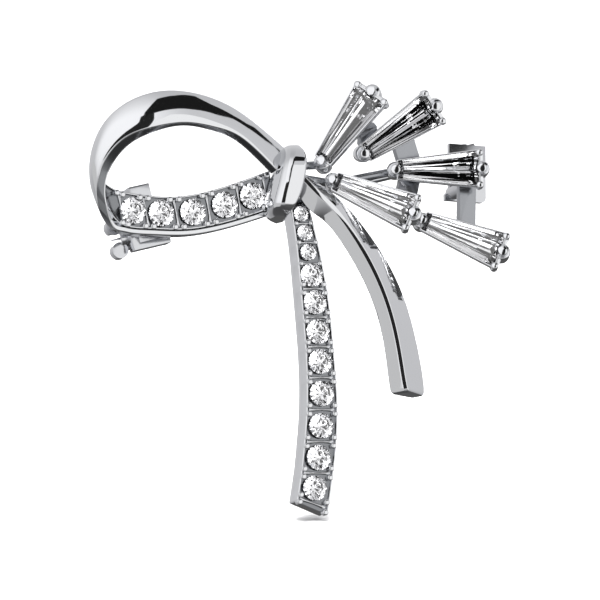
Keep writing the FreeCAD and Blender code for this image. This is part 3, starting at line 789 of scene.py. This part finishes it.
PLAIN_ROWS = 160
plain_rings = [plain_ring(6 * k / PLAIN_ROWS) for k in range(PLAIN_ROWS + 1)]
plain = swept("plain_tail_ribbon", round_ends(plain_rings, 0.35), 40)
finish_piece(plain, plated_silver, "polished_silver", "bow", "plain_tail")
print("plain tail faces:", len(plain.data.polygons))

# %% [markdown]
# ## The knot
# A short ribbon is folded round the middle. It has a light left bevel, a crisp ridge and a flat bright face
# to the right of it, and it narrows at the top and the bottom. Each level gives the height and where the left
# side, the bevel, the ridge and the right side lie, with how far forward the ridge stands.

# %% The knot's levels
KNOT_LEVELS = [
    (4.79, -2.47, -2.45, -2.15, -1.50, -6.30),
    (4.27, -2.98, -2.90, -2.55, -1.42, -7.20),
    (3.71, -3.26, -3.15, -2.80, -1.42, -7.75),
    (3.04, -3.50, -3.40, -2.99, -1.42, -8.00),
    (1.99, -3.86, -3.68, -3.19, -1.55, -8.05),
    (1.12, -4.10, -3.86, -3.37, -1.73, -8.05),
    (0.26, -4.32, -4.06, -3.57, -1.98, -8.00),
    (-0.59, -4.40, -4.20, -3.71, -2.34, -7.90),
    (-1.11, -4.28, -4.10, -3.66, -2.62, -7.50),
    (-1.47, -3.86, -3.78, -3.42, -2.75, -6.80),
    (-1.66, -3.25, -3.22, -3.04, -2.80, -6.00),
]
KNOT_BACK = -4.00
KNOT_FLAT = 0.36
KNOT_SHOULDER = 2.4
knot_rail = spline(KNOT_LEVELS)


def knot_ring(s):
    z, left, bevel, ridge, right, front = knot_rail(s)
    depth = KNOT_BACK - front
    corners = [
        (left, front + 0.62 * min(depth, KNOT_SHOULDER)),
        (bevel, front + 0.20 * min(depth, KNOT_SHOULDER)),
        (ridge, front + 0.10),
        (ridge + KNOT_FLAT, front),
        (right, front + 0.06),
        (right + 0.32, front + 0.45 * depth),
        (right, KNOT_BACK),
        (left + 0.45, KNOT_BACK),
    ]
    radii = (0.45, 0.30, 0.06, 0.08, 0.26, 0.4, 0.3, 0.4)
    return [np.array([p[0], p[1], z]) for p in rounded(corners, radii, 8)]


KNOT_ROWS = 80
knot_end = len(KNOT_LEVELS) - 1
knot = swept("knot_fold", [knot_ring(knot_end * k / KNOT_ROWS) for k in range(KNOT_ROWS + 1)], 50)
finish_piece(knot, plated_silver, "polished_silver", "bow", "knot_band")
print("knot levels:", len(KNOT_LEVELS))

# %% [markdown]
# ## The tapered baguettes
# A baguette is cut in steps, with long facets side by side like stairs, so it flashes in streaks rather
# than sparks. Each is a stack of tapered outlines: the table, two crown steps, the girdle and four pavilion
# steps down to a narrow keel. The pavilion is deeper where the stone is wider.

# %% Places and cut of the baguettes
BAGUETTES = [
    ((0.90, -4.60, 3.85), (5.00, -6.60, 10.20), (-0.40, -0.90, 0.10)),
    ((4.95, -4.90, 4.80), (10.80, -7.00, 9.00), (-0.25, -0.95, -0.25)),
    ((7.75, -5.00, 3.65), (14.75, -7.40, 3.80), (-0.20, -0.97, -0.10)),
    ((2.00, -4.80, 2.45), (8.55, -7.20, -0.45), (-0.15, -0.97, -0.05)),
    ((9.95, -5.00, -0.45), (16.85, -7.40, -3.35), (-0.15, -0.97, -0.05)),
]
BAGUETTE_LONG = 6.90
BAGUETTE_NARROW = 1.45
BAGUETTE_WIDE = 3.00
BAGUETTE_CROWN = 0.38
BAGUETTE_GIRDLE = 0.10
BAGUETTE_FIT = 0.994
PRONG_OUT = 0.26
PRONG_RISE = 0.62
PRONG_R = 0.42
COLLAR_R = 0.74
SETTING_DEPTH = 1.75
SETTING_WALL = 0.16


def baguette_frame(number):
    inner, outer, facing = [np.array(v) for v in BAGUETTES[number]]
    along = unit(outer - inner)
    normal = unit(facing - along * (facing @ along))
    centre = (inner + outer) / 2 - normal * PRONG_RISE
    return centre, along, normal, np.cross(normal, along)


def tapered_ring(place, height, inset, shrink=1.0):
    """Four corners of the tapered outline at a height, moved in evenly by inset."""
    centre, along, normal, side = place
    slope = (BAGUETTE_WIDE - BAGUETTE_NARROW) / (2 * BAGUETTE_LONG)
    side_inset = inset * math.sqrt(1 + slope * slope)
    half = BAGUETTE_LONG / 2 - inset
    narrow = BAGUETTE_NARROW / 2 + slope * inset - side_inset
    wide = BAGUETTE_WIDE / 2 - slope * inset - side_inset
    corners = ((-half, -narrow), (half, -wide), (half, wide), (-half, narrow))
    return [centre + along * a * shrink + side * s * shrink + normal * height for a, s in corners]


CROWN_STEPS = [(1.0, 0.36), (0.72, 0.24), (0.38, 0.11), (0.0, 0.0)]
PAVILION_STEPS = [(0.70, 0.135), (0.40, 0.25), (0.16, 0.325), (0.02, 0.355)]
PAVILION_END = 0.28


def pavilion_ring(place, share, drop):
    """A tapered outline below the girdle: a share of the width is left, and the drop grows with the width."""
    centre, along, normal, side = place
    ring = []
    for end, hand in ((-1, -1), (1, -1), (1, 1), (-1, 1)):
        width = BAGUETTE_WIDE if end > 0 else BAGUETTE_NARROW
        reach = end * (BAGUETTE_LONG / 2 - (1 - share) * PAVILION_END * width)
        low = -BAGUETTE_GIRDLE - drop * width
        ring.append(centre + along * reach + side * hand * share * width / 2 + normal * low)
    return ring


def baguette_stone(number):
    place = baguette_frame(number)
    rings = [tapered_ring(place, BAGUETTE_CROWN * up, inset, BAGUETTE_FIT) for up, inset in CROWN_STEPS]
    rings.append(tapered_ring(place, -BAGUETTE_GIRDLE, 0.0, BAGUETTE_FIT))
    rings += [pavilion_ring(place, share, drop) for share, drop in PAVILION_STEPS]
    bm = bmesh.new()
    add_sweep(bm, rings)
    stone = new_object(f"baguette_cut_{number + 1}", bm, smooth=False)
    finish_piece(stone, cubic_zirconia, "cubic_zirconia", "bow", f"baguette_stone_{number + 1}")


for number in range(len(BAGUETTES)):
    baguette_stone(number)
print("baguettes:", len(BAGUETTES))

# %% [markdown]
# ## The basket settings
# Each baguette sits in a tapered tray of silver that is open at the back. The rim is a thin bright line
# around the stone. At either end a stout post carries a slimmer prong, whose domed tip is pushed over the
# stone's end. The tray is one closed wall: outside, over the rim, and back down inside. At the wide end a
# round claw stands at each corner, with a thicker wall between the two.

# %% The tray and its prongs


def outline(place, height, inset, radius):
    """The tapered outline with rounded corners."""
    return rounded(tapered_ring(place, height, inset), (radius,) * 4, 6)


def tray_rings(place):
    wall = SETTING_WALL
    outside = [
        (-SETTING_DEPTH + 0.05, 0.24, 0.20),
        (-1.15, 0.10, 0.20),
        (-1.05, 0.06, 0.20),
        (-0.60, -wall + 0.02, 0.20),
        (-0.50, -wall, 0.20),
        (0.08, -wall, 0.20),
        (0.13, -wall + 0.03, 0.18),
        (0.14, -wall + 0.06, 0.15),
    ]
    inside = [
        (0.13, -0.04, 0.10),
        (0.02, 0.005, 0.08),
        (-BAGUETTE_GIRDLE - 0.01, 0.006, 0.08),
        (-BAGUETTE_GIRDLE - 0.14, 0.10, 0.08),
        (-0.70, 0.34, 0.08),
        (-SETTING_DEPTH + 0.05, 0.52, 0.08),
        (-SETTING_DEPTH, 0.48, 0.08),
    ]
    rows = [(-SETTING_DEPTH, 0.28, 0.18)] + outside + inside
    return [outline(place, *row) for row in rows]


def add_ring_wall(bm, rings):
    """Join rings one to the next and the last to the first: a hollow frame with no caps."""
    rows = [[bm.verts.new(p) for p in ring] for ring in rings]
    count = len(rows[0])
    for low, high in zip(rows, rows[1:] + rows[:1]):
        for i in range(count):
            j = (i + 1) % count
            bm.faces.new((low[i], low[j], high[j], high[i]))


PRONG_PROFILE = [
    (0.10, -SETTING_DEPTH),
    (COLLAR_R - 0.10, -SETTING_DEPTH),
    (COLLAR_R - 0.02, -SETTING_DEPTH + 0.08),
    (COLLAR_R, -SETTING_DEPTH + 0.30),
    (COLLAR_R, -0.20),
    (COLLAR_R - 0.03, -0.08),
    (COLLAR_R - 0.12, 0.00),
    (PRONG_R + 0.12, 0.03),
    (PRONG_R + 0.04, 0.00),
    (PRONG_R - 0.02, 0.08),
    (PRONG_R, 0.28),
    (PRONG_R, 0.49),
    (PRONG_R * 0.97, 0.55),
    (PRONG_R * 0.90, 0.59),
    (PRONG_R * 0.76, 0.608),
    (PRONG_R * 0.45, 0.617),
    (PRONG_R * 0.04, 0.62),
]
CLAW_R = 0.34
CLAW_OUT = 0.10
CLAW_PROFILE = [
    (0.05, -1.10),
    (CLAW_R, -1.05),
    (CLAW_R, 0.04),
    (CLAW_R * 0.94, 0.12),
    (CLAW_R * 0.78, 0.18),
    (CLAW_R * 0.50, 0.212),
    (CLAW_R * 0.10, 0.22),
]
END_WALL = 0.40
END_WALL_SECTION = [
    (0.0, -1.05), (END_WALL, -1.05), (END_WALL, -0.10), (END_WALL - 0.08, -0.05), (0.06, -0.05),
]


def end_wall_rings(place):
    """The thick wall behind the wide end, from one claw to the other."""
    centre, along, normal, side = place
    end = centre + along * (BAGUETTE_LONG / 2 + 0.01)
    half = BAGUETTE_WIDE / 2 - CLAW_OUT
    rings = []
    for s in (-half, half):
        rings.append([end + side * s + along * a + normal * h for a, h in END_WALL_SECTION])
    return rings


def setting(number):
    place = baguette_frame(number)
    centre, along, normal, side = place
    bm = bmesh.new()
    add_ring_wall(bm, tray_rings(place))
    for end in (-1, 1):
        at = centre + along * end * (BAGUETTE_LONG / 2 + PRONG_OUT)
        add_sweep(bm, lathe(PRONG_PROFILE, at, normal, 36))
    corner = centre + along * (BAGUETTE_LONG / 2 + CLAW_OUT)
    for s in (-1, 1):
        at = corner + side * s * (BAGUETTE_WIDE / 2 - CLAW_OUT)
        add_sweep(bm, lathe(CLAW_PROFILE, at, normal, 28))
    add_sweep(bm, end_wall_rings(place))
    obj = new_object(f"basket_{number + 1}", bm, crease_deg=35)
    finish_piece(obj, plated_silver, "polished_silver", "bow", f"baguette_setting_{number + 1}")


for number in range(len(BAGUETTES)):
    setting(number)
print("settings:", len(BAGUETTES))

# %% [markdown]
# ## Wires, strut, hinge and catch
# These small castings have simple shapes, already exact in CAD. What the real ones add is a softened edge,
# from tumbling in a barrel of steel shot. A copy of each CAD mesh is welded and bevelled to give that.

# %% Softened copies of CAD pieces
WELD_MM = 0.0005


def softened(node, width_mm, material, slot, body, segments=3):
    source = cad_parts[node]
    mesh = source.data.copy()
    mesh.materials.clear()
    obj = bpy.data.objects.new(node + "_softened", mesh)
    bpy.context.scene.collection.objects.link(obj)
    bm = bmesh.new()
    bm.from_mesh(mesh)
    bmesh.ops.remove_doubles(bm, verts=bm.verts, dist=WELD_MM * MM)
    bmesh.ops.dissolve_limit(bm, angle_limit=math.radians(1.0), verts=bm.verts, edges=bm.edges)
    bm.to_mesh(mesh)
    bm.free()
    bevel = obj.modifiers.new("soft edge", "BEVEL")
    bevel.width = width_mm * MM
    bevel.segments = segments
    bevel.limit_method = "ANGLE"
    bevel.angle_limit = math.radians(40)
    settle(obj)
    obj.data.shade_smooth()
    obj.data.set_sharp_from_angle(angle=math.radians(35))
    return finish_piece(obj, material, slot, body, node)


LINKS = ("link_knot_1", "link_knot_4", "link_4_3", "link_1_2", "link_2_3", "link_3_4", "link_4_5")
# The bars and the strut take the darker grey metal, painted shade behind the settings.
for node in LINKS:
    softened(node, 0.03, painted_shade_bar_silver, "polished_silver", "bow")
softened("strut_3_5", 0.10, painted_shade_bar_silver, "polished_silver", "bow")
softened("hinge_bracket", 0.07, cast_silver, "cast_findings", "bow")
softened("catch_base", 0.06, cast_silver, "cast_findings", "bow")
softened("catch_rotor", 0.05, cast_silver, "cast_findings", "catch")
softened("hinge_rivet", 0.05, pin_wire, "pin_wire", "bow")
softened("pin_stem", 0.04, pin_wire, "pin_wire", "pin")
print("bars and wires between the settings:", len(LINKS))

# %% [markdown]
# ## Camera
# A long lens a little to the left and below, as for jewellery on a stand, keeps the shape free of
# distortion.

# %% Camera
VIEW_TURN = math.radians(-20)
VIEW_RISE = math.radians(-10)
VIEW_DISTANCE = 300.0
VIEW_WIDTH = 51.0
AIM_RIGHT = 0.765
AIM_DOWN = 7.285
AIM_FORWARD = 4.5
to_camera = np.array([
    math.sin(VIEW_TURN) * math.cos(VIEW_RISE),
    -math.cos(VIEW_TURN) * math.cos(VIEW_RISE),
    math.sin(VIEW_RISE),
])
camera_right = np.array([math.cos(VIEW_TURN), math.sin(VIEW_TURN), 0.0])
camera_up = np.cross(to_camera, camera_right)
aim = camera_right * AIM_RIGHT - camera_up * AIM_DOWN + to_camera * AIM_FORWARD - UP * DRAWN_ABOVE
camera_data = bpy.data.cameras.new("camera")
camera_data.sensor_width = 36.0
camera_data.lens = 36.0 * VIEW_DISTANCE / VIEW_WIDTH
camera_data.clip_start = 0.01
camera_data.clip_end = 10.0
camera = bpy.data.objects.new("camera", camera_data)
bpy.context.scene.collection.objects.link(camera)
camera.matrix_world = Matrix((
    (*camera_right[:], 0.0), (*camera_up[:], 0.0), (*to_camera[:], 0.0), (0.0, 0.0, 0.0, 1.0),
)).to_3x3().transposed().to_4x4()
camera.location = Vector((aim + to_camera * VIEW_DISTANCE) * MM)
bpy.context.scene.camera = camera
print("lens:", round(camera_data.lens, 1), "mm")

# %% [markdown]
# ## The studio's tent
# Polished metal shows only what surrounds it, so the room matters as much as the metal. Jewellery is lit
# in a white tent, light above and darker below, with black cards whose reflections draw the shape in crisp
# dark lines. The world gives the tent: a ramp from below to above, and a brighter window to the front.

# %% The tent


def studio_direction(turn, rise):
    """A direction from degrees right of the studio's front and degrees above it."""
    turn, rise = math.radians(turn), math.radians(rise)
    level = to_camera * math.cos(turn) + camera_right * math.sin(turn)
    return level * math.cos(rise) + camera_up * math.sin(rise)


TENT_RAMP = [(-90, 0.07), (-48, 0.09), (-36, 0.34), (-12, 0.52), (0, 0.62), (30, 0.68), (60, 0.58), (90, 0.5)]
world = bpy.data.worlds.new("white tent")
bpy.context.scene.world = world
world.use_nodes = True
sky = world.node_tree
sky.nodes.clear()
sight = add_node(sky, "ShaderNodeTexCoord").outputs["Generated"]
height_dot = add_node(sky, "ShaderNodeVectorMath", {"operation": "DOT_PRODUCT"})
sky.links.new(sight, height_dot.inputs[0])
height_dot.inputs[1].default_value = camera_up
share = add_node(sky, "ShaderNodeMapRange", Value=height_dot.outputs["Value"])
share.inputs["From Min"].default_value = -1.0
ramp_node = add_node(sky, "ShaderNodeValToRGB", Fac=share.outputs["Result"])
stops = ramp_node.color_ramp.elements
while len(stops) < len(TENT_RAMP):
    stops.new(0.5)
for stop, (rise, grey) in zip(stops, TENT_RAMP):
    stop.position = (math.sin(math.radians(rise)) + 1) / 2
    stop.color = (grey, grey, grey * 1.02, 1.0)
window_dot = add_node(sky, "ShaderNodeVectorMath", {"operation": "DOT_PRODUCT"})
sky.links.new(sight, window_dot.inputs[0])
window_dot.inputs[1].default_value = studio_direction(-12, 14)
window = add_node(sky, "ShaderNodeMapRange", {"interpolation_type": "SMOOTHSTEP"},
                  Value=window_dot.outputs["Value"])
window.inputs["From Min"].default_value = math.cos(math.radians(55))
window.inputs["To Max"].default_value = 0.45
tent = add_node(sky, "ShaderNodeBackground", Color=ramp_node.outputs["Color"])
window_light = add_node(sky, "ShaderNodeBackground", Color=hex_to_linear("#ffffff"),
                        Strength=window.outputs["Result"])
both = add_node(sky, "ShaderNodeAddShader")
sky.links.new(tent.outputs["Background"], both.inputs[0])
sky.links.new(window_light.outputs["Background"], both.inputs[1])
add_node(sky, "ShaderNodeOutputWorld", Surface=both.outputs["Shader"])
print("steps in the tent's ramp:", len(TENT_RAMP))

# %% [markdown]
# ### Black and white cards
# Each card is a strip of stiff paper curved round the brooch a long way off. It is given column by column:
# degrees to the right, and its lower and upper edge in degrees. The camera doesn't see the cards, and they
# cast no shadow. Two kinds are less than real: the four black strips show only through the stones, where they
# give the facets their dark steps, and the black card in front shows only in the metal.

# %% Cards
CARD_DISTANCE = 1500.0


def card(name, columns, grey, in_metal=True, in_stones=True):
    """A curved card that glows an even grey, seen in the metal, in the stones, or in both."""
    bm = bmesh.new()
    rows = []
    for turn, low, high in columns:
        edge = []
        for k in range(5):
            rise = low + (high - low) * k / 4
            edge.append(bm.verts.new(studio_direction(turn, rise) * CARD_DISTANCE))
        rows.append(edge)
    for left, right in zip(rows, rows[1:]):
        for k in range(4):
            bm.faces.new((left[k], right[k], right[k + 1], left[k + 1]))
    obj = new_object(name, bm, smooth=False)
    material, tree = new_material(name)
    glow = add_node(tree, "ShaderNodeEmission", Color=(grey, grey, grey, 1.0), Strength=1.0)
    add_node(tree, "ShaderNodeOutputMaterial", Surface=glow.outputs["Emission"])
    obj.data.materials.append(material)
    obj.visible_camera = False
    obj.visible_shadow = False
    obj.visible_diffuse = False
    obj.visible_glossy = in_metal
    obj.visible_transmission = in_stones


STRIP_TURNS = (-52, -24, 4, 60)
for turn in STRIP_TURNS:
    strip = [(turn + step, -55, 60) for step in (0, 6, 12)]
    card(f"black_strip_{turn + 60}", strip, 0.0, in_metal=False)
card("black_card_above_right", [
    (10, 22, 30), (16, 25, 46), (20, 26, 51), (32, 28, 53), (45, 30, 54), (60, 34, 55), (74, 38, 54),
    (80, 39, 48), (95, 37, 43), (110, 35, 39), (125, 33, 36),
], 0.012)
card("black_card_front", [
    (1, -12, 8), (8, -14, 25), (12, -13, 26), (17, -10, 27), (19, -9, 27), (20, -9, 3), (25, -7, 0),
], 0.02, in_stones=False)
card("white_card_right", [(20, -24, 12), (30, -25, 24), (50, -25, 24), (75, -24, 24), (82, -22, 20)], 1.0)
card("white_card_left", [(-84, -48, 4), (-60, -50, 2), (-35, -50, -12), (-12, -46, -26)], 0.62)
card("grey_card_low_right", [
    (32, -54, -34), (60, -56, -32), (100, -54, -26), (150, -52, -4), (180, -54, 2), (196, -52, -2),
], 0.10)
print("black strips:", len(STRIP_TURNS))

# %% [markdown]
# ## Floor
# The floor is a sheet of white paper that passes just under the tail's tip. Its sheet is seen from above
# and left out of the metal's reflections, where it would hide the darker ground of the tent.

# %% The paper
FLOOR_TILT = math.radians(8)
floor_normal = unit(camera_up * math.cos(FLOOR_TILT) + to_camera * math.sin(FLOOR_TILT))
floor_turn = basis(floor_normal, to_camera)
floor_at = np.array([1.0, -4.0, -26.9])
FLOOR_HALF = 2500
bm = bmesh.new()
sheet = []
for x, y in ((-1, -1), (1, -1), (1, 1), (-1, 1)):
    sheet.append(bm.verts.new(floor_at + floor_turn @ np.array([x, y, 0.0]) * FLOOR_HALF))
bm.faces.new(sheet)
floor = new_object("floor", bm, smooth=False)
paper, paper_tree = new_material("white paper")
facing = add_node(paper_tree, "ShaderNodeNewGeometry")
sheet_white = add_node(paper_tree, "ShaderNodeBsdfDiffuse", Color=hex_to_linear("#fcfcfc"))
clear = add_node(paper_tree, "ShaderNodeBsdfTransparent")
top_only = add_node(paper_tree, "ShaderNodeMixShader", Fac=facing.outputs["Backfacing"])
paper_tree.links.new(sheet_white.outputs["BSDF"], top_only.inputs[1])
paper_tree.links.new(clear.outputs["BSDF"], top_only.inputs[2])
add_node(paper_tree, "ShaderNodeOutputMaterial", Surface=top_only.outputs["Shader"])
floor.data.materials.append(paper)
floor.visible_glossy = False
print("the paper's tilt:", round(math.degrees(FLOOR_TILT)), "degrees")

# %% [markdown]
# ### Soft boxes
# A very large soft box lights the paper evenly, and a smaller one overhead lets the brooch cast a faint
# shadow.

# %% Soft boxes
fill_data = bpy.data.lights.new("large soft box", "SUN")
fill_data.angle = math.radians(60)
fill_data.energy = 1.1
fill = bpy.data.objects.new("large soft box", fill_data)
bpy.context.scene.collection.objects.link(fill)
fill.rotation_mode = "QUATERNION"
fill.rotation_quaternion = Vector(floor_normal).to_track_quat("Z", "Y")
fill.visible_glossy = False
fill.visible_transmission = False
key_data = bpy.data.lights.new("soft box", "AREA")
key_data.shape = "SQUARE"
key_data.size = 0.30
key_data.energy = 3.4
key = bpy.data.objects.new("soft box", key_data)
bpy.context.scene.collection.objects.link(key)
key_away = studio_direction(-20, 70)
key.location = Vector((aim + key_away * 400) * MM)
key.rotation_mode = "QUATERNION"
key.rotation_quaternion = Vector(key_away).to_track_quat("Z", "Y")
key.visible_glossy = False
key.visible_transmission = False

bpy.context.scene.view_settings.view_transform = "Standard"
bpy.context.scene.view_settings.look = "None"
